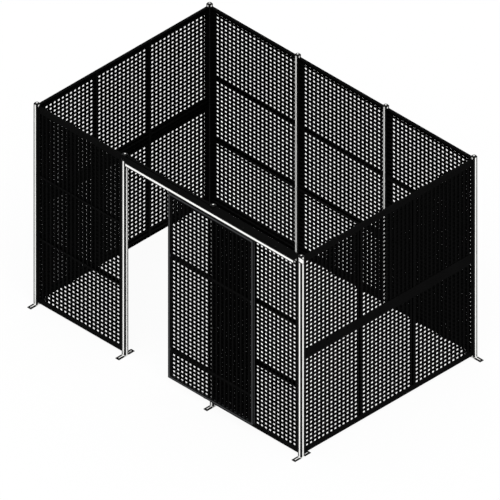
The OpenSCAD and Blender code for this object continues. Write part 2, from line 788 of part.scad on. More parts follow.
module trolley_axles() {
    color(zinc) for (x = trolleys_x) for (s = [-1, 1])
        translate([x + s * axle_span / 2, -track_y, wheel_z]) rotate([90, 0, 0]) {
            translate([0, 0, -axle_l / 2]) cylinder(d = axle_d, h = axle_l);
            for (end = [-1, 1]) translate([0, 0, end * (axle_l + axle_head) / 2 - axle_head / 2])
                cylinder(d = axle_head_d, h = axle_head);
        }
}

// Grooved nylon wheel, turned about its own axis, with its inner face on z = 0
module trolley_wheel() {
    bore_r = axle_d / 2 + thread_gap;
    edge = 0.8;
    web = 2;
    hub_r = axle_head_d / 2 + 1;
    rim_r = wheel_r - 3;
    rotate_extrude($fn = 64) polygon([[bore_r, 0], [hub_r, 0], [hub_r, web], [rim_r, web], [rim_r, 0],
        [wheel_r - edge, 0], [wheel_r, edge], [wheel_r, wheel_w - edge], [wheel_r - edge, wheel_w],
        [rim_r, wheel_w], [rim_r, wheel_w - web], [hub_r, wheel_w - web], [hub_r, wheel_w],
        [bore_r, wheel_w]]);
}

// The two wheels on one axle: trolley 0 is the left one, side is -1 for its left axle
module wheel_pair(trolley, side) {
    color(nylon) translate([trolleys_x[trolley] + side * axle_span / 2, -track_y, wheel_z])
        for (y = [-1, 1]) rotate([y * 90, 0, 0]) translate([0, 0, wheel_in]) trolley_wheel();
}

// ---- floor guide -------------------------------------------------------------------------------

// Angle bracket on the foot of the post to the right of the doorway
module guide_bracket() {
    arm_l = track_y - post_w / 2 + roller_r / 2 + 4;
    arm_w = 2 * bay_x + post_w / 2 - guide_x + roller_r;
    left = guide_x - roller_r;
    color(black_paint) difference() {
        translate([left, -post_w / 2, guide_top - guide_leg]) union() {
            translate([0, -guide_t, 0]) cube([arm_w, guide_t, guide_leg]);
            translate([0, -arm_l, guide_leg - guide_t]) cube([2 * roller_r + 4, arm_l, guide_t]);
        }
        for (s = [-1, 1]) translate([2 * bay_x + s * guide_bolt_dx[0], -post_w / 2 + past, guide_bolt_z[0]])
            rotate([90, 0, 0]) cylinder(d = bolt_d + 2 * hole_gap, h = guide_t + 2 * past);
        translate([guide_x, -track_y, guide_top - guide_t - past])
            cylinder(d = guide_pin_d + 2 * thread_gap, h = guide_t + 2 * past);
    }
}

module guide_bolts() {
    color(zinc) for (s = [-1, 1])
        translate([2 * bay_x + s * guide_bolt_dx[0], -post_w / 2 - guide_t, guide_bolt_z[0]]) rotate([90, 0, 0])
            hex_bolt(guide_t + post_grip);
}

// Pin that stands in the bracket, with a shoulder under the roller and a head over it
module guide_pin() {
    shoulder_h = roller_z - guide_top - run_gap;
    color(zinc) translate([guide_x, -track_y, guide_top - guide_t]) {
        cylinder(d = guide_pin_d, h = guide_t + shoulder_h + roller_h + 2 * run_gap);
        translate([0, 0, guide_t]) cylinder(d = guide_pin_d + 5, h = shoulder_h);
        translate([0, 0, guide_t + shoulder_h + roller_h + 2 * run_gap]) cylinder(d = guide_pin_d + 5, h = 2);
    }
}

module guide_roller() {
    edge = 1;
    bore_r = guide_pin_d / 2 + thread_gap;
    color(nylon) translate([guide_x, -track_y, roller_z]) rotate_extrude($fn = 64)
        polygon([[bore_r, 0], [roller_r - edge, 0], [roller_r, edge], [roller_r, roller_h - edge],
            [roller_r - edge, roller_h], [bore_r, roller_h]]);
}

post_front_left();
post_door_left();
post_door_right();
post_front_right();
post_back_right();
post_back_mid(2);  // post_back_mid_right
post_back_mid(1);  // post_back_mid_left
post_back_left();
post_caps();
base_plates();
panel_frame(FRONT_LEFT);  // front_left_frame
panel_mesh(FRONT_LEFT);  // front_left_mesh
panel_frame(FRONT_RIGHT);  // front_right_frame
panel_mesh(FRONT_RIGHT);  // front_right_mesh
panel_frame(BACK_LEFT);  // back_left_frame
panel_mesh(BACK_LEFT);  // back_left_mesh
panel_frame(BACK_MID);  // back_mid_frame
panel_mesh(BACK_MID);  // back_mid_mesh
panel_frame(BACK_RIGHT);  // back_right_frame
panel_mesh(BACK_RIGHT);  // back_right_mesh
panel_frame(LEFT_LOWER);  // left_lower_frame
panel_mesh(LEFT_LOWER);  // left_lower_mesh
panel_frame(LEFT_UPPER);  // left_upper_frame
panel_mesh(LEFT_UPPER);  // left_upper_mesh
panel_frame(RIGHT_LOWER);  // right_lower_frame
panel_mesh(RIGHT_LOWER);  // right_lower_mesh
panel_frame(RIGHT_UPPER);  // right_upper_frame
panel_mesh(RIGHT_UPPER);  // right_upper_mesh
panel_bolts();
post_nuts();
joint_nuts();
header_rail();
top_rail();
header_angle();
header_bolts();
header_end_plate();
end_plate_screws();
track();
track_bolts();
track_nuts();
track_stops();
stop_buffers();
door_frame();
door_mid_rails();
door_bottom_channel();
door_mesh();
hanger_plates();
hanger_screws();
hanger_bolts();
hanger_nuts();
trolley_bodies();
trolley_axles();
wheel_pair(0, -1);  // wheels_left_front
wheel_pair(0, 1);  // wheels_left_rear
wheel_pair(1, -1);  // wheels_right_front
wheel_pair(1, 1);  // wheels_right_rear
guide_bracket();
guide_bolts();
guide_pin();
guide_roller();
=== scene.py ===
"""Looks of a free-standing mesh room with an outside sliding door, around its CAD model."""

import logging
import math
from dataclasses import dataclass
from enum import Enum
from typing import Any, Iterable

import bmesh
import bpy
from mathutils import Matrix, Vector


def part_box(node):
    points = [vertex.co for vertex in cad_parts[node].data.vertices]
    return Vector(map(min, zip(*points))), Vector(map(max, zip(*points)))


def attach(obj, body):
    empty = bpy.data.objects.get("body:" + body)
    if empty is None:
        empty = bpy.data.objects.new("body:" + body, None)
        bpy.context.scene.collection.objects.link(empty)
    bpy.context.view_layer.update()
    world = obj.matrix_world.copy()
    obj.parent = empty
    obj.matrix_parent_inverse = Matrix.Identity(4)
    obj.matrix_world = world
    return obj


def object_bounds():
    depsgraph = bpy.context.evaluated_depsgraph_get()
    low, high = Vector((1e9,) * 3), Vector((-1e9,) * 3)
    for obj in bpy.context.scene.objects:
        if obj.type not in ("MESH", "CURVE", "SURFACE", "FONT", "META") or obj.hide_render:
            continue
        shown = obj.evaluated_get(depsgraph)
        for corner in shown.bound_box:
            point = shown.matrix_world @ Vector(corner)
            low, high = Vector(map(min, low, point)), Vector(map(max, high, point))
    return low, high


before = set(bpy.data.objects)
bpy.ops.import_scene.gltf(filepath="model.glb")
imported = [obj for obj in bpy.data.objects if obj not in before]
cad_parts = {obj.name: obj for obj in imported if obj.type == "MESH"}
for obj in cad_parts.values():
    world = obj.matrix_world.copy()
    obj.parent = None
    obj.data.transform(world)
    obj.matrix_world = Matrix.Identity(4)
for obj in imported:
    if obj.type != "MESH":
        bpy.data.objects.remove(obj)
CAD_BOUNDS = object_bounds()
LOG = logging.getLogger("mesh_room")

MM = 0.001
UP = Vector((0, 0, 1))
# Bays along the front and the back wall
BAYS = 3
# Half of the gap between two welded pieces of the CAD model, where the middle of a seam lies
HALF_GAP_MM = 0.1
# Nearly all values of a noise texture lie between these
NOISE_LOW, NOISE_HIGH = 0.3, 0.7
# Over this distance the coat gives way to the painted shade of a dark edge line
EDGE_SOFT_MM = 0.5
# Blender's names of the nodes that work on numbers and on places
NUMBERS, PLACES = "ShaderNodeMath", "ShaderNodeVectorMath"

# The lowest and the highest corner of a box, in metres
Box = tuple[Vector, Vector]


class Body(Enum):
    """The rigid bodies that a piece can ride on."""

    ROOM = "room"
    DOOR = "door"


class GridRule(Enum):
    """Which edges get a line: the posts' corners, the caps' rims, or the base plates' sides and ends."""

    POSTS = "posts"
    CAPS = "caps"
    PLATES = "plates"


class Side(Enum):
    """The four sides of the room, each with the way in the plan that it faces."""

    FRONT = (0, -1)
    BACK = (0, 1)
    LEFT = (-1, 0)
    RIGHT = (1, 0)

    @property
    def outward(self) -> Vector:
        """The way that the side faces."""
        return Vector((*self.value, 0))

    @property
    def along(self) -> Vector:
        """The way along the side, towards growing X or Y."""
        return Vector((abs(self.value[1]), abs(self.value[0]), 0))

    @property
    def opposite(self) -> "Side":
        """The side that faces the other way."""
        return Side(tuple(-part for part in self.value))


class Slot(Enum):
    """The record's material slots, one of which each finish names."""

    WHITE = "white_powder_coat"
    BLACK = "black_powder_coat"
    CHARCOAL = "charcoal_powder_coat"
    ZINC = "zinc_plated_steel"
    BLACK_ZINC = "black_zinc_steel"
    NYLON = "nylon"
    RUBBER = "rubber"


def box_of(node: str) -> Box:
    """Gives the box of a CAD node."""
    low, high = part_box(node)
    return Vector(low), Vector(high)


def direction(azimuth_deg: float, elevation_deg: float) -> Vector:
    """Gives the way to a viewer or a lamp, turned that far from the front to the right and that high."""
    turn, tilt = math.radians(azimuth_deg), math.radians(elevation_deg)
    return Vector((math.sin(turn) * math.cos(tilt), -math.cos(turn) * math.cos(tilt), math.sin(tilt)))


def linear_colour(hex_colour: str) -> tuple[float, float, float, float]:
    """Turns an sRGB hex colour to linear light.

    Args:
        hex_colour: The colour as "#rrggbb".

    Returns:
        Red, green, blue and alpha, with alpha 1.
    """
    def channel(value: float) -> float:
        """Turns one channel by the sRGB standard's curve."""
        return value / 12.92 if value <= 0.04045 else ((value + 0.055) / 1.055) ** 2.4

    red, green, blue = (int(hex_colour[i : i + 2], 16) / 255 for i in (1, 3, 5))
    return channel(red), channel(green), channel(blue), 1.0


def per_metre(millimetres: float) -> float:
    """Gives the scale of a texture whose features are that many millimetres apart."""
    return 1.0 / (millimetres * MM)


def add_object(name: str, data: bpy.types.ID) -> bpy.types.Object:
    """Puts an object with that data into the scene.

    Args:
        name: The object's name.
        data: Its mesh, lamp or camera.

    Returns:
        The object.
    """
    thing = bpy.data.objects.new(name, data)
    bpy.context.scene.collection.objects.link(thing)
    return thing


def mesh_data(name: str, mesh: bmesh.types.BMesh) -> bpy.types.Mesh:
    """Turns a mesh that was being built to the data of an object.

    Args:
        name: The name of the data.
        mesh: The mesh, which is freed.

    Returns:
        The data.
    """
    data = bpy.data.meshes.new(name)
    mesh.to_mesh(data)
    mesh.free()
    return data


# ---- nodes of the materials --------------------------------------------------------------------


def empty_tree(owner: bpy.types.Material | bpy.types.World) -> bpy.types.NodeTree:
    """Gives a material or a world a node tree with nothing in it.

    Args:
        owner: The material or world.

    Returns:
        Its node tree.
    """
    owner.use_nodes = True
    owner.node_tree.nodes.clear()
    return owner.node_tree


def add_node(
    tree: bpy.types.NodeTree, kind: str, links: dict[str | int, Any] | None = None, **settings: Any,
) -> bpy.types.Node:
    """Adds a node with its settings, values and links.

    Args:
        tree: The node tree that gets the node.
        kind: Blender's name of the node type.
        links: For each input, by name or number, a socket to link from or a value to set.
        **settings: Properties of the node.

    Returns:
        The new node.
    """
    node = tree.nodes.new(kind)
    for name, value in settings.items():
        setattr(node, name, value)
    for key, value in (links or {}).items():
        target = node.inputs[key]
        if isinstance(value, bpy.types.NodeSocket):
            tree.links.new(value, target)
        else:
            target.default_value = value
    return node


def add_row(
    tree: bpy.types.NodeTree, kind: str, start: bpy.types.NodeSocket, *steps: tuple[Any, ...],
) -> bpy.types.NodeSocket:
    """Adds a row of nodes of one kind, each of which works on the result of the one before.

    Args:
        tree: The node tree that gets the nodes.
        kind: Blender's name of their type.
        start: What the first one works on.
        *steps: For each node, its operation and then its further inputs.

    Returns:
        The result of the last one.
    """
    result = start
    for operation, *others in steps:
        links = dict(enumerate((result, *others)))
        result = add_node(tree, kind, links, operation=operation).outputs[0]
    return result


def add_background_share(tree: bpy.types.NodeTree) -> bpy.types.NodeSocket:
    """Adds the nodes that tell which rays see the background: the camera's, mirrored and let through.

    Args:
        tree: The node tree of the floor or the world.

    Returns:
        1 for those rays and 0 for the others.
    """
    rays = add_node(tree, "ShaderNodeLightPath").outputs
    return add_row(tree, NUMBERS, rays["Is Camera Ray"], ("MAXIMUM", rays["Is Glossy Ray"]),
                   ("MAXIMUM", rays["Is Transmission Ray"]))


@dataclass(frozen=True)
class EdgeLines:
    """Painted shade: dark lines painted along the edges of a coated piece.

    Attributes:
        name: What the material with these lines is named after.
        width: The width of the lines in metres.
    """

    name: str
    width: float

    def past(self, tree: bpy.types.NodeTree, place: bpy.types.NodeSocket) -> bpy.types.NodeSocket:
        """Adds the nodes that give the distance past the lines' inner border, negative outside them."""
        raise NotImplementedError


@dataclass(frozen=True)
class BoxEdges(EdgeLines):
    """Lines along the twelve edges of a box.

    Attributes:
        low: The box's lowest corner, in metres.
        high: Its highest corner.
    """

    low: Vector
    high: Vector

    @staticmethod
    def of(node: str, width: float) -> "BoxEdges":
        """Lays the lines out on a CAD node's box."""
        return BoxEdges(node, width, *box_of(node))

    def past(self, tree: bpy.types.NodeTree, place: bpy.types.NodeSocket) -> bpy.types.NodeSocket:
        """Takes the middle one of the distances past the inner borders in X, Y and Z.

        Near an edge, two of the three are positive, and so is the middle one.

        Args:
            tree: The material's nodes.
            place: The place on the piece, in metres.

        Returns:
            The distance in metres past the inner border of the lines.
        """
        middle, half = (self.low + self.high) / 2, (self.high - self.low) / 2
        inner = half - Vector((self.width, self.width, self.width))
        over = add_row(tree, PLACES, place, ("SUBTRACT", middle), ("ABSOLUTE",), ("SUBTRACT", inner))
        x, y, z = add_node(tree, "ShaderNodeSeparateXYZ", {0: over}).outputs
        least = add_row(tree, NUMBERS, x, ("MINIMUM", y))
        return add_row(tree, NUMBERS, x, ("MAXIMUM", y), ("MINIMUM", z), ("MAXIMUM", least))


@dataclass(frozen=True)
class RingEdges(EdgeLines):
    """Lines along the edges of the square tubes that run round an upright rectangle.

    Attributes:
        low: The rectangle's lowest corner, in metres.
        high: Its highest corner.
        tube: The width of the tubes in metres.
    """

    low: Vector
    high: Vector
    tube: float

    def past(self, tree: bpy.types.NodeTree, place: bpy.types.NodeSocket) -> bpy.types.NodeSocket:
        """Measures across the tube, both in the rectangle's plane and through it.

        Args:
            tree: The material's nodes.
            place: The place on the piece, in metres.

        Returns:
            The distance in metres past the inner border of the lines.
        """
        middle, half = (self.low + self.high) / 2, (self.high - self.low) / 2
        offset = add_row(tree, PLACES, place, ("SUBTRACT", middle), ("ABSOLUTE",))
        x, y, z = add_node(tree, "ShaderNodeSeparateXYZ", {0: offset}).outputs
        past_side = add_row(tree, NUMBERS, x, ("SUBTRACT", half.x))
        across = add_row(tree, NUMBERS, z, ("SUBTRACT", half.z), ("MAXIMUM", past_side),
                         ("ADD", self.tube / 2), ("ABSOLUTE",))
        return add_row(tree, NUMBERS, across, ("MINIMUM", y), ("SUBTRACT", self.tube / 2 - self.width))


@dataclass(frozen=True)
class GridEdges(EdgeLines):
    """Lines along the edges of things that stand in the posts' rows, each centred on its post.

    Attributes:
        rule: Which edges get the lines.
        step: The distance from post to post along X and along Y, in metres.
        post: The width of a post.
        plate: The length of a base plate.
    """

    rule: GridRule
    step: tuple[float, float]
    post: float
    plate: float

    @staticmethod
    def of(rule: GridRule, width: float) -> "GridEdges":
        """Lays the lines out on the rows of the CAD model's posts.

        Args:
            rule: Which edges get the lines.
            width: The lines' width in metres.

        Returns:
            The lines.
        """
        low, high = box_of("post_front_left")
        rows = box_of("post_back_right")[0] - low
        plate_end = box_of("base_plates")[0].y
        post, plate = high.x - low.x, 2 * ((low.y + high.y) / 2 - plate_end)
        return GridEdges(rule.value, width, rule, (rows.x / BAYS, rows.y), post, plate)

    def past(self, tree: bpy.types.NodeTree, place: bpy.types.NodeSocket) -> bpy.types.NodeSocket:
        """Wraps every post's place to the origin and measures in the plan from there.

        Args:
            tree: The material's nodes.
            place: The place on the piece, in metres.

        Returns:
            The distance in metres past the inner border of the lines.
        """
        # The height is wrapped too, at every metre, but not used
        half_step = Vector((*self.step, 1.0)) / 2
        offset = add_row(tree, PLACES, place, ("WRAP", half_step, -half_step), ("ABSOLUTE",))
        x, y, _ = add_node(tree, "ShaderNodeSeparateXYZ", {0: offset}).outputs
        most = add_row(tree, NUMBERS, x, ("MAXIMUM", y))
        border = self.post / 2 - self.width
        if self.rule is GridRule.CAPS:
            return add_row(tree, NUMBERS, most, ("SUBTRACT", border))
        sides = add_row(tree, NUMBERS, x, ("MINIMUM", y), ("SUBTRACT", border))
        if self.rule is GridRule.POSTS:
            return sides
        return add_row(tree, NUMBERS, most, ("SUBTRACT", self.plate / 2 - self.width), ("MAXIMUM", sides))


# ---- finishes ----------------------------------------------------------------------------------


@dataclass(frozen=True)
class Finish:
    """A surface: its colour, its gloss and the fine pattern that its making leaves.

    Attributes:
        name: The material's name.
        slot: The record's slot, which is not used.
        colour: The main sRGB colour.
        shade: The sRGB colour of its patches.
        roughness: The roughness in the middle.
        roughness_spread: How far the roughness goes up and down from there.
        grain_mm: The size of the fine pattern.
        grain_depth_mm: The depth of the fine pattern.
        ior: The index of refraction, which a metal leaves alone.
        specular: The strength of the reflection.
        metallic: 1 for bare metal.
        edge_colour: The sRGB colour of the painted shade along the edges.
        patch_mm: The size of the patches.
        patch_detail: How many finer layers the patches have.
        grain_detail: How many finer layers the grain has.
    """

    name: str
    slot: Slot
    colour: str
    shade: str
    roughness: float
    roughness_spread: float
    grain_mm: float
    grain_depth_mm: float
    ior: float = 1.5
    specular: float = 0.5
    metallic: float = 0.0
    edge_colour: str = "#040404"
    patch_mm: float = 260.0
    patch_detail: float = 4.0
    grain_detail: float = 2.0

    def material(self, lines: EdgeLines | None = None) -> bpy.types.Material:
        """Builds the finish's material, or gives the one built before.

        Args:
            lines: The edge lines of painted shade, if the piece has them.

        Returns:
            The material.
        """
        name = f"{self.name}_on_{lines.name}" if lines else self.name
        known = bpy.data.materials.get(name)
        if known:
            return known
        material = bpy.data.materials.new(name)
        tree = empty_tree(material)
        place = add_node(tree, "ShaderNodeTexCoord").outputs["Object"]
        patches = add_node(tree, "ShaderNodeTexNoise", {
            "Vector": place, "Scale": per_metre(self.patch_mm), "Detail": self.patch_detail}).outputs["Fac"]
        grain = add_node(tree, "ShaderNodeTexNoise", {
            "Vector": place, "Scale": per_metre(self.grain_mm), "Detail": self.grain_detail}).outputs["Fac"]
        tint = add_node(tree, "ShaderNodeMix", {
            "Factor": patches, "A": linear_colour(self.colour), "B": linear_colour(self.shade)},
            data_type="RGBA")
        gloss = add_node(tree, "ShaderNodeMapRange", {
            "Value": patches, "From Min": NOISE_LOW, "From Max": NOISE_HIGH,
            "To Min": self.roughness - self.roughness_spread,
            "To Max": self.roughness + self.roughness_spread})
        bump = add_node(tree, "ShaderNodeBump", {
            "Height": grain, "Distance": self.grain_depth_mm * MM, "Strength": 1.0})
        colour = tint.outputs["Result"]
        # Painted shade: dark lines along the piece's edges
        if lines:
            colour = self.paint_edge_shade(tree, colour, lines.past(tree, place))
        shader = add_node(tree, "ShaderNodeBsdfPrincipled", {
            "Base Color": colour, "Roughness": gloss.outputs["Result"], "Metallic": self.metallic,
            "IOR": self.ior, "Specular IOR Level": self.specular, "Normal": bump.outputs["Normal"]})
        add_node(tree, "ShaderNodeOutputMaterial", {"Surface": shader.outputs["BSDF"]})
        return material

    def paint_edge_shade(
        self, tree: bpy.types.NodeTree, coat: bpy.types.NodeSocket, past: bpy.types.NodeSocket,
    ) -> bpy.types.NodeSocket:
        """Paints shade in the edge lines: the coat turns to the dark edge colour there.

        Args:
            tree: The material's nodes.
            coat: The colour of the coat.
            past: The distance past the inner border of the lines.

        Returns:
            The colour with the painted shade along its edges.
        """
        soft = EDGE_SOFT_MM * MM
        shown = add_node(tree, "ShaderNodeMapRange", {"Value": past, "From Min": -soft, "From Max": soft})
        mixed = add_node(tree, "ShaderNodeMix", {
            "Factor": shown.outputs["Result"], "A": coat, "B": linear_colour(self.edge_colour)},
            data_type="RGBA")
        return mixed.outputs["Result"]

    def dress(self, objects: Iterable[bpy.types.Object], lines: EdgeLines | None = None) -> None:
        """Gives every object the finish.

        Args:
            objects: CAD nodes or added pieces.
            lines: The edge lines of painted shade, if the pieces have them.
        """
        material = self.material(lines)
        for thing in objects:
            if not thing.material_slots:
                thing.data.materials.append(material)
            for slot in thing.material_slots:
                slot.material = material


# Polyester powder, baked to a smooth semi-gloss film with the fine dimples of orange peel
WHITE_COAT = Finish(
    "white_polyester_powder_coat", Slot.WHITE, "#f7f7f5", "#f1f1ee", roughness=0.42, roughness_spread=0.05,
    grain_mm=3.0, grain_depth_mm=0.02, ior=1.45, specular=0.15)
# The same powder in flat black: it takes up nearly all the light, with a weak sheen at its edges
BLACK_COAT = Finish(
    "black_polyester_powder_coat", Slot.BLACK, "#020202", "#040404", roughness=0.62, roughness_spread=0.06,
    grain_mm=2.5, grain_depth_mm=0.03, ior=1.45, specular=0.02)
# Charcoal powder on the door's tube, a little lighter and glossier than the black
CHARCOAL_COAT = Finish(
    "charcoal_polyester_powder_coat", Slot.CHARCOAL, "#444547", "#3c3d3f", roughness=0.5,
    roughness_spread=0.05, grain_mm=2.5, grain_depth_mm=0.03, ior=1.45, specular=0.08,
    edge_colour="#020202")
# Electroplated zinc, passivated clear: pale grey with faint blotches
ZINC_PLATE = Finish(
    "clear_zinc_plated_steel", Slot.ZINC, "#c3c7ca", "#a9aeb2", roughness=0.34, roughness_spread=0.09,
    grain_mm=1.2, grain_depth_mm=0.01, metallic=1.0, patch_mm=18.0)
# Zinc with a black passivation, as on fasteners that match black panels: a dark film, dull in gloss
BLACK_ZINC = Finish(
    "black_zinc_plated_steel", Slot.BLACK_ZINC, "#060607", "#0a0a0b", roughness=0.45, roughness_spread=0.08,
    grain_mm=1.2, grain_depth_mm=0.01, ior=1.3, specular=0.2, patch_mm=18.0)
# Cast nylon, turned: the tool leaves a fine tooth, and the plastic is milky and soft in gloss
TURNED_NYLON = Finish(
    "turned_nylon", Slot.NYLON, "#e2dfd4", "#d8d4c7", roughness=0.48, roughness_spread=0.05,
    grain_mm=0.8, grain_depth_mm=0.02, ior=1.53, patch_mm=12.0)
# Moulded black rubber: matt, with a fine tooth
MOULDED_RUBBER = Finish(
    "moulded_rubber", Slot.RUBBER, "#161616", "#1d1d1d", roughness=0.85, roughness_spread=0.05,
    grain_mm=0.7, grain_depth_mm=0.03, ior=1.45, patch_mm=20.0)


# ---- pieces ------------------------------------------------------------------------------------


def nodes(*names: str) -> list[bpy.types.Object]:
    """Gives the CAD objects of those names."""
    return [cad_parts[name] for name in names]


def add_piece(
    name: str, mesh: bmesh.types.BMesh, body: Body, finish: Finish, smooth: bool = True,
) -> None:
    """Makes an object of a mesh, dresses it and lets it ride on a body.

    Args:
        name: The piece's name.
        mesh: Its shape, in the frame's metres. It is freed.
        body: The body that it rides on.
        finish: Its finish.
        smooth: Whether its faces are shaded smooth.
    """
    bmesh.ops.recalc_face_normals(mesh, faces=mesh.faces)
    data = mesh_data(name, mesh)
    for face in data.polygons:
        face.use_smooth = smooth
    thing = add_object(name, data)
    finish.dress([thing])
    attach(thing, body.value)
    LOG.info("%s: %d faces on %s", name, len(data.polygons), body.value)


def add_flat_bar(mesh: bmesh.types.BMesh, low: Vector, high: Vector, rounding_mm: float = 0.7) -> None:
    """Adds a flat bar with rolled, rounded edges.

    Args:
        mesh: The mesh that gets the bar.
        low: Its lowest corner, in metres.
        high: Its highest corner.
        rounding_mm: The radius of its edges.
    """
    shape = Matrix.Translation((low + high) / 2) @ Matrix.Diagonal((*(high - low), 1.0))
    verts = bmesh.ops.create_cube(mesh, matrix=shape)["verts"]
    edges = list(dict.fromkeys(edge for vert in verts for edge in vert.link_edges))
    bmesh.ops.bevel(mesh, geom=edges, offset=rounding_mm * MM, segments=2, profile=0.5, affect="EDGES")


@dataclass(frozen=True)
class Face:
    """An upright plane, on which a place is given in millimetres along it and up it.

    Attributes:
        side: The side that the plane faces.
        start: A point at the place and the height from which they are counted, in metres.
        reach: How far out towards that side the plane lies, in metres.
    """

    side: Side
    start: Vector
    reach: float

    @staticmethod
    def of_box(box: Box, side: Side) -> "Face":
        """Finds the face of a box on one side, which starts at its lowest corner."""
        return Face(side, box[0], max(corner.dot(side.outward) for corner in box))

    def point(self, along: float, up: float, out: float = 0.0) -> Vector:
        """Gives a point on the plane, or one that stands out from it.

        Args:
            along: The distance along the plane, in millimetres.
            up: The height on the plane, in millimetres.
            out: How far the point stands out, in millimetres.

        Returns:
            The point, in the frame's metres.
        """
        level, outward = self.side.along, self.side.outward
        base = level * self.start.dot(level) + outward * self.reach + UP * self.start.z
        return base + (level * along + UP * up + outward * out) * MM


@dataclass(frozen=True)
class Seam:
    """A seam on an upright face: its two ends, as millimetres along the face and up it."""

    start: tuple[float, float]
    end: tuple[float, float]


@dataclass(frozen=True)
class WeldBead:
    """A weld bead: a low half-round ridge with the ripples that the arc leaves.

    Attributes:
        width_mm: Its width.
        rise_mm: Its height.
        ripple_mm: The distance of its ripples.
        ripple_share: The depth of a ripple, as a share of the height.
        end_share: The share of its size that it keeps at its very ends.
        sides: How many faces go round it.
        rings_per_ripple: How many rings of faces a ripple has.
        least_rings: How many rings of faces a short bead has.
    """

    width_mm: float = 5.5
    rise_mm: float = 1.5
    ripple_mm: float = 3.4
    ripple_share: float = 0.22
    end_share: float = 0.15
    sides: int = 6
    rings_per_ripple: int = 3
    least_rings: int = 4

    def lay(self, mesh: bmesh.types.BMesh, start: Vector, end: Vector, up: Vector) -> None:
        """Adds a bead along a straight seam.

        Args:
            mesh: The mesh that gets the bead.
            start: One end of the seam, in metres.
            end: Its other end.
            up: The way that the bead bulges.
        """
        length = (end - start).length
        along = (end - start).normalized()
        across = along.cross(up).normalized()
        half_width, rise = self.width_mm / 2 * MM, self.rise_mm * MM
        ripples = length / (self.ripple_mm * MM)
        steps = max(self.least_rings, int(ripples * self.rings_per_ripple))
        rings = []
        for step in range(steps + 1):
            share = step / steps
            widths_from_end = min(share, 1 - share) * length / half_width
            taper = min(1.0, math.sqrt(widths_from_end) + self.end_share)
            wave = 1 - self.ripple_share * abs(math.sin(math.pi * share * ripples))
            ring = []
            for side in range(self.sides + 1):
                turn = math.pi * side / self.sides
                offset = across * (math.cos(turn) * half_width * taper)
                offset += up * (math.sin(turn) * rise * taper * wave)
                ring.append(mesh.verts.new(start + along * (length * share) + offset))
            rings.append(ring)
        for near, far in zip(rings, rings[1:]):
            for side in range(self.sides):
                mesh.faces.new((near[side], near[side + 1], far[side + 1], far[side]))
            mesh.faces.new((near[self.sides], near[0], far[0], far[self.sides]))
        mesh.faces.new(rings[0])
        mesh.faces.new(rings[-1])

    def lay_on_face(
        self, mesh: bmesh.types.BMesh, face: Face, seams: Iterable[Seam], out: float = 0.0,
    ) -> None:
        """Adds the beads of the seams on an upright face, or so many millimetres out from it."""
        for seam in seams:
            self.lay(mesh, face.point(*seam.start, out), face.point(*seam.end, out), face.side.outward)


# ---- sub-assemblies ----------------------------------------------------------------------------


@dataclass
class Posts:
    """The eight posts with their caps and base plates.

    Attributes:
        names: The posts' CAD nodes.
        post_line_mm: The width of the dark lines on the posts.
        cap_line_mm: The width of those on the caps.
        plate_line_mm: The width of those on the base plates.
        bead: The beads round the posts' feet.
    """

    names: tuple[str, ...] = (
        "post_front_left", "post_door_left", "post_door_right", "post_front_right",
        "post_back_right", "post_back_mid_right", "post_back_mid_left", "post_back_left")
    post_line_mm: float = 17.0
    cap_line_mm: float = 18.0
    plate_line_mm: float = 20.0
    bead: WeldBead = WeldBead(width_mm=7.0, rise_mm=3.2)

    def dress(self) -> None:
        """Gives posts, caps and plates their white coat, with painted shade in dark lines along their edges.
        """
        for rule, names, width in (
                (GridRule.POSTS, self.names, self.post_line_mm),
                (GridRule.CAPS, ("post_caps",), self.cap_line_mm),
                (GridRule.PLATES, ("base_plates",), self.plate_line_mm)):
            WHITE_COAT.dress(nodes(*names), GridEdges.of(rule, width * MM))
        ZINC_PLATE.dress(nodes("post_nuts"))

    def add_foot_welds(self) -> None:
        """Adds the fillet weld round the foot of every post."""
        for name in self.names:
            low, high = box_of(name)
            middle = (low + high) / 2
            corners = [Vector((x, y, low.z)) for x, y in (
                (low.x, low.y), (high.x, low.y), (high.x, high.y), (low.x, high.y))]
            mesh = bmesh.new()
            for here, there in zip(corners, corners[1:] + corners[:1]):
                out = (here + there) / 2 - middle
                out.z = 0
                self.bead.lay(mesh, here, there, (out.normalized() + UP).normalized())
            add_piece("foot_weld_" + name.removeprefix("post_"), mesh, Body.ROOM, WHITE_COAT)

    def build(self) -> None:
        """Dresses the posts and adds their details."""
        self.dress()
        self.add_foot_welds()


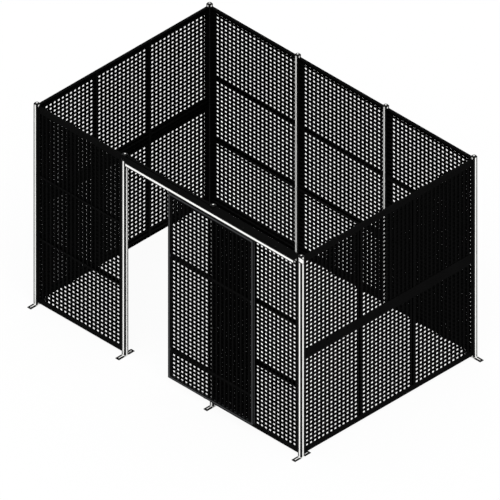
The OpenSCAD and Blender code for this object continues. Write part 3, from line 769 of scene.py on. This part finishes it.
@dataclass
class MeshPanel:
    """One framed mesh panel: the angles are welded at the corners, the stiffeners at their ends.

    Attributes:
        name: The start of the names of its CAD nodes.
        side: The side that its frame faces.
        stiffeners_mm: The middles of its two stiffeners, from its left or bottom edge.
        upright: Whether the stiffeners stand upright.
        flange_mm: The distance of the seams from the panel's sides.
        rail_mm: Their distance from its bottom and its top.
        rim_mm: The distance of a backing bar's ends from the panel's edges.
        stiffener_width_mm: The width of a stiffener.
        backing_width_mm: The width of a backing bar.
        backing_depth_mm: Its thickness.
        backing_weld_mm: How far below a backing bar's face the beads at its ends start.
        bead: The beads.
    """

    name: str
    side: Side
    stiffeners_mm: tuple[float, float]
    upright: bool = False
    flange_mm: float = 31.75 + HALF_GAP_MM
    rail_mm: float = 63.5 + HALF_GAP_MM
    rim_mm: float = 3.2 + HALF_GAP_MM
    stiffener_width_mm: float = 25.4
    backing_width_mm: float = 38.1
    backing_depth_mm: float = 3.2
    backing_weld_mm: float = 1.0
    bead: WeldBead = WeldBead()

    @property
    def box(self) -> Box:
        """The box of the panel's frame."""
        return box_of(self.name + "_frame")

    @property
    def size_mm(self) -> tuple[float, float]:
        """The frame's width and height."""
        size = (self.box[1] - self.box[0]) / MM
        return size.dot(self.side.along), size.z

    def end_seam(self, middle: float, half: float, end: float) -> Seam:
        """Finds the seam across a stiffener or a backing bar, half its width to both sides of its middle."""
        near, far = (middle - half, end), (middle + half, end)
        return Seam(near, far) if self.upright else Seam(near[::-1], far[::-1])

    def seams(self) -> list[Seam]:
        """Lists the seams on the outside of the frame.

        Returns:
            The four corner seams and the seams at both ends of each stiffener.
        """
        width, height = self.size_mm
        side, rail, half = self.flange_mm, self.rail_mm, self.stiffener_width_mm / 2
        corners = [Seam((x, z), (x, z + rail)) for x in (side, width - side) for z in (0.0, height - rail)]
        ends = (rail, height - rail) if self.upright else (side, width - side)
        return corners + [self.end_seam(middle, half, end) for middle in self.stiffeners_mm for end in ends]

    def add_welds(self) -> None:
        """Lays the welds on the outside of the frame."""
        mesh = bmesh.new()
        self.bead.lay_on_face(mesh, Face.of_box(self.box, self.side), self.seams())
        add_piece(self.name + "_welds", mesh, Body.ROOM, BLACK_COAT)

    def add_backing_bars(self) -> None:
        """Adds the two flat bars that hold the mesh from the room's side, opposite the stiffeners."""
        inside = self.side.opposite
        back = Face(inside, self.box[0], Face.of_box(box_of(self.name + "_mesh"), inside).reach)
        width, height = self.size_mm
        ends = self.rim_mm, (height if self.upright else width) - self.rim_mm
        mesh = bmesh.new()
        for middle in self.stiffeners_mm:
            seams = [self.end_seam(middle, self.backing_width_mm / 2, end) for end in ends]
            corners = back.point(*seams[0].start), back.point(*seams[1].end, self.backing_depth_mm)
            add_flat_bar(mesh, Vector(map(min, *corners)), Vector(map(max, *corners)))
            self.bead.lay_on_face(mesh, back, seams, self.backing_depth_mm - self.backing_weld_mm)
        add_piece(self.name + "_backing_bars", mesh, Body.ROOM, BLACK_COAT, smooth=False)

    def build(self) -> None:
        """Dresses the panel's frame and mesh, lays its welds and adds its backing bars."""
        BLACK_COAT.dress(nodes(self.name + "_frame", self.name + "_mesh"))
        self.add_welds()
        self.add_backing_bars()


@dataclass
class Walls:
    """The nine panels of the four walls with their fasteners.

    Attributes:
        level_mm: The heights of the level stiffeners of a front or back panel.
        upright_mm: The places of the upright stiffeners along an end panel.
        tall: The front and back panels.
        long: The end panels.
    """

    level_mm: tuple[float, float] = (808.0, 1587.0)
    upright_mm: tuple[float, float] = (825.0, 1587.0)
    tall: tuple[tuple[str, Side], ...] = (
        ("front_left", Side.FRONT), ("front_right", Side.FRONT),
        ("back_left", Side.BACK), ("back_mid", Side.BACK), ("back_right", Side.BACK))
    long: tuple[tuple[str, Side], ...] = (
        ("left_lower", Side.LEFT), ("left_upper", Side.LEFT),
        ("right_lower", Side.RIGHT), ("right_upper", Side.RIGHT))

    def build(self) -> None:
        """Builds every panel and dresses the fasteners."""
        for name, side in self.tall:
            MeshPanel(name, side, self.level_mm).build()
        for name, side in self.long:
            MeshPanel(name, side, self.upright_mm, upright=True).build()
        BLACK_ZINC.dress(nodes("panel_bolts", "joint_nuts"))


@dataclass
class Header:
    """The header over the doorway, with the track and what holds it.

    Attributes:
        track_line_mm: The width of the dark lines on the track.
        plate_line_mm: The width of those on the end plate.
    """

    track_line_mm: float = 12.0
    plate_line_mm: float = 5.0

    def build(self) -> None:
        """Dresses the header and the track."""
        BLACK_COAT.dress(nodes("header_rail", "top_rail", "header_angle"))
        # Painted shade: dark lines along the edges of the track and the end plate
        for name, width in (("track", self.track_line_mm), ("header_end_plate", self.plate_line_mm)):
            WHITE_COAT.dress(nodes(name), BoxEdges.of(name, width * MM))
        BLACK_ZINC.dress(nodes("header_bolts", "track_bolts", "track_nuts"))
        ZINC_PLATE.dress(nodes("end_plate_screws", "track_stops"))
        MOULDED_RUBBER.dress(nodes("stop_buffers"))


@dataclass
class Door:
    """The sliding door with its hangers, trolleys and floor guide.

    Attributes:
        tube_mm: The width of its tube, up to the middle of a seam.
        line_mm: The width of the dark lines along the tube's edges.
        mid_rails_mm: The middles of its two middle rails, from its bottom.
        bead: The beads.
    """

    tube_mm: float = 31.75 + HALF_GAP_MM
    line_mm: float = 11.4
    mid_rails_mm: tuple[float, float] = (368.5, 1536.5)
    bead: WeldBead = WeldBead()

    @property
    def box(self) -> Box:
        """The box of the door's frame with the channel under it."""
        return box_of("door_bottom_channel")[0], box_of("door_frame")[1]

    def seams(self) -> list[Seam]:
        """Lists the seams on one face of the door.

        Returns:
            The seams under the stiles and at the ends of the rails.
        """
        size = (self.box[1] - self.box[0]) / MM
        tube = self.tube_mm
        found = [Seam((x, tube), (x + tube, tube)) for x in (0.0, size.x - tube)]
        for middle in (*self.mid_rails_mm, size.z - tube / 2):
            found += [Seam((x, middle - tube / 2), (x, middle + tube / 2)) for x in (tube, size.x - tube)]
        return found

    def add_welds(self) -> None:
        """Lays the welds on the door's outer and inner face."""
        for side, name in ((Side.FRONT, "door_outer_welds"), (Side.BACK, "door_inner_welds")):
            mesh = bmesh.new()
            self.bead.lay_on_face(mesh, Face.of_box(self.box, side), self.seams())
            add_piece(name, mesh, Body.DOOR, CHARCOAL_COAT)

    def build(self) -> None:
        """Dresses the door and its running gear and lays its welds."""
        # Painted shade: dark lines along the edges of the door's tubes
        lines = RingEdges("door", self.line_mm * MM, *self.box, self.tube_mm * MM)
        CHARCOAL_COAT.dress(nodes("door_frame", "door_bottom_channel"), lines)
        BLACK_COAT.dress(nodes("door_mesh", "door_mid_rails", "guide_bracket"))
        BLACK_ZINC.dress(nodes("hanger_plates", "hanger_screws", "hanger_bolts", "hanger_nuts",
                               "guide_bolts"))
        ZINC_PLATE.dress(nodes("trolley_bodies", "trolley_axles", "guide_pin"))
        TURNED_NYLON.dress(nodes("wheels_left_front", "wheels_left_rear", "wheels_right_front",
                                 "wheels_right_rear", "guide_roller"))
        self.add_welds()


# ---- studio ------------------------------------------------------------------------------------


@dataclass(frozen=True)
class Lamp:
    """A soft lamp.

    Attributes:
        name: Its name.
        strength: Its strength.
        azimuth_deg: How far it is turned from the front to the right.
        elevation_deg: How high it stands.
        spread_deg: How wide it looks from the room, which makes its shadows soft.
        distance: How far off it is placed, in metres, which doesn't change its light.
    """

    name: str
    strength: float
    azimuth_deg: float
    elevation_deg: float
    spread_deg: float = 50.0
    distance: float = 8.0

    def build(self) -> None:
        """Adds the lamp."""
        data = bpy.data.lights.new(self.name, "SUN")
        data.energy = self.strength
        data.angle = math.radians(self.spread_deg)
        lamp = add_object(self.name, data)
        toward = direction(self.azimuth_deg, self.elevation_deg)
        lamp.rotation_euler = toward.to_track_quat("Z", "Y").to_euler()
        lamp.location = toward * self.distance


@dataclass
class Studio:
    """The isometric camera, the pale floor and the soft light. Lengths are in metres.

    Attributes:
        azimuth_deg: How far the camera is turned from the front to the right.
        elevation_deg: How high it stands: an isometric view looks down a cube's diagonal.
        view_width: What its picture covers.
        centre_right: The middle of the picture, from the origin to the right.
        centre_up: The middle of the picture, from the origin upwards.
        distance: How far off it stands.
        clip_end: How far it sees.
        floor_half: Half of the floor's width.
        floor_drop: How far the floor lies under the room.
        floor_light: The share of the floor's white that is seen without any light on it.
        ambient: The light that the white surroundings throw on the room.
        lamps: The key lamp from the front right and the fill lamp from the front left.
    """

    azimuth_deg: float = 45.0
    elevation_deg: float = math.degrees(math.asin(1 / math.sqrt(3)))
    view_width: float = 5.0955
    centre_right: float = 2.1717
    centre_up: float = 0.55
    distance: float = 12.0
    clip_end: float = 100.0
    floor_half: float = 40.0
    floor_drop: float = 0.0005
    floor_light: float = 0.93
    ambient: float = 0.75
    lamps: tuple[Lamp, ...] = (Lamp("key", 1.1, 70.0, 48.0), Lamp("fill", 0.8, 20.0, 40.0))

    def add_camera(self) -> None:
        """Adds the isometric camera at the photograph's angle and frame."""
        turn = math.radians(self.azimuth_deg)
        right = Vector((math.cos(turn), math.sin(turn), 0))
        back = direction(self.azimuth_deg, self.elevation_deg)
        up = back.cross(right)
        data = bpy.data.cameras.new("camera")
        data.type = "ORTHO"
        data.ortho_scale = self.view_width
        data.clip_end = self.clip_end
        camera = add_object("camera", data)
        place = right * self.centre_right + up * self.centre_up + back * self.distance
        camera.matrix_world = Matrix.Translation(place) @ Matrix((right, up, back)).transposed().to_4x4()
        bpy.context.scene.camera = camera

    def add_floor(self) -> None:
        """Adds the white floor, which keeps a faint shadow of the room."""
        mesh = bmesh.new()
        bmesh.ops.create_grid(mesh, x_segments=1, y_segments=1, size=self.floor_half)
        floor = add_object("floor", mesh_data("floor", mesh))
        floor.location.z = CAD_BOUNDS[0][2] - self.floor_drop
        # Matt paint: an even white, with no reflection of the room
        material = bpy.data.materials.new("matt_white_floor_paint")
        tree = empty_tree(material)
        share = add_row(tree, NUMBERS, add_background_share(tree), ("MULTIPLY", self.floor_light))
        paint = add_node(tree, "ShaderNodeBsdfDiffuse", {"Color": linear_colour("#f4f4f4")})
        glow = add_node(tree, "ShaderNodeEmission", {"Color": linear_colour("#ffffff"), "Strength": 1.0})
        both = add_node(tree, "ShaderNodeMixShader", {0: share, 1: paint.outputs[0], 2: glow.outputs[0]})
        add_node(tree, "ShaderNodeOutputMaterial", {"Surface": both.outputs[0]})
        floor.data.materials.append(material)

    def add_world(self) -> None:
        """Adds the white surroundings."""
        world = bpy.data.worlds.new("white_studio")
        bpy.context.scene.world = world
        tree = empty_tree(world)
        strength = add_node(tree, "ShaderNodeMapRange", {
            "Value": add_background_share(tree), "To Min": self.ambient, "To Max": 1.0})
        light = add_node(tree, "ShaderNodeBackground", {
            "Color": linear_colour("#ffffff"), "Strength": strength.outputs["Result"]})
        add_node(tree, "ShaderNodeOutputWorld", {"Surface": light.outputs[0]})

    def build(self) -> None:
        """Sets up the camera, the floor and the light."""
        bpy.context.scene.view_settings.view_transform = "Standard"
        self.add_camera()
        self.add_floor()
        self.add_world()
        for lamp in self.lamps:
            lamp.build()


def main() -> None:
    """Builds the studio and then the room, piece by piece."""
    logging.basicConfig(level=logging.INFO, format="%(name)s: %(message)s")
    Studio().build()
    for assembly in (Posts(), Walls(), Header(), Door()):
        assembly.build()
        LOG.info("built %s", type(assembly).__name__)


if __name__ == "__main__":
    main()
